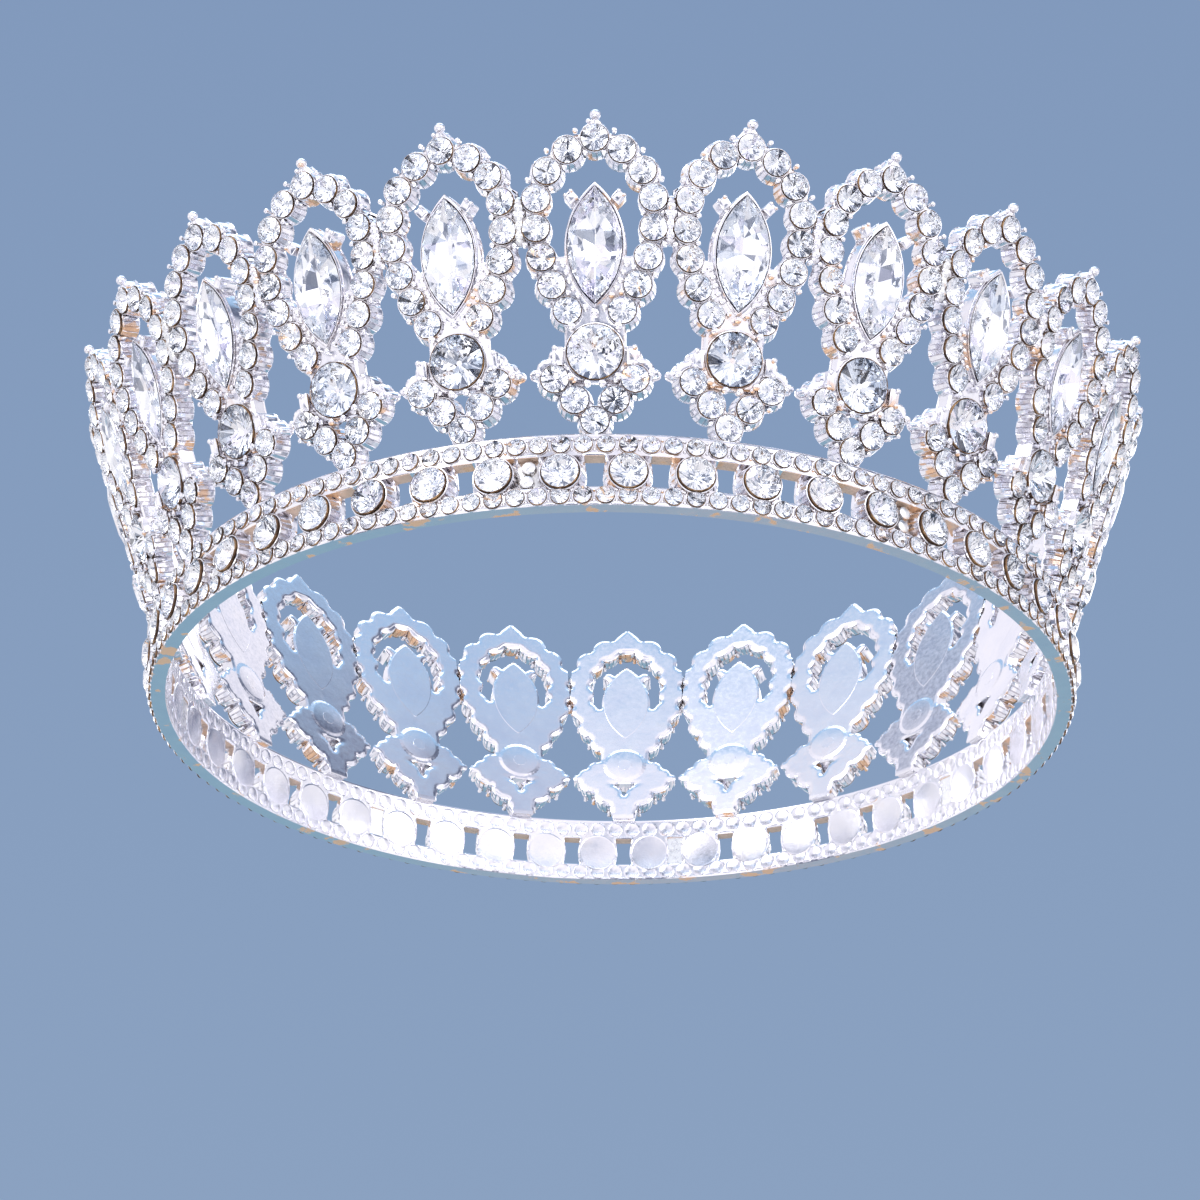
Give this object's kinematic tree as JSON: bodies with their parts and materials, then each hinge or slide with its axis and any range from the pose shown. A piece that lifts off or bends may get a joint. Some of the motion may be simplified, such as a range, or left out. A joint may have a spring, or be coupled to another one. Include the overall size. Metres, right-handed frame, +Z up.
{
  "type": "bridal tiara",
  "caption": "Rigid full-round bridal crown: pierced band of stone-set rails and cups carrying a ring of flared pointed arches, each framing a marquise crystal over a large round one.",
  "frame": {"origin": "centre of the ring, on the plane of the band's flat bottom face", "axes": "+Z up through the ring's axis, -Y is the front, where one motif is centred, +X to the wearer's left"},
  "size_m": [0.1568, 0.1568, 0.0502],
  "materials": {
    "plated_metal": "bright silver-white plating over a cast alloy",
    "solder": "plated-over soft solder, slightly duller than the castings",
    "crystal": "clear cut crystal with a silver foil back"
  },
  "bodies": {
    "root": {"segment_1": "plated_metal", "segment_2": "plated_metal", "segment_3": "plated_metal", "segment_4": "plated_metal", "segment_5": "plated_metal", "segment_6": "plated_metal", "segment_7": "plated_metal", "segment_8": "plated_metal", "band_joint_solder": "solder", "arch_tie_solder": "solder", "arch_top_stones": "crystal", "arch_side_stones": "crystal", "marquise_stones": "crystal", "centre_round_stones": "crystal", "vee_outer_stones": "crystal", "vee_inner_stones": "crystal", "vee_foot_stones": "crystal", "band_round_stones": "crystal", "upper_rail_stones": "crystal", "lower_rail_stones": "crystal"}
  },
  "joints": []
}
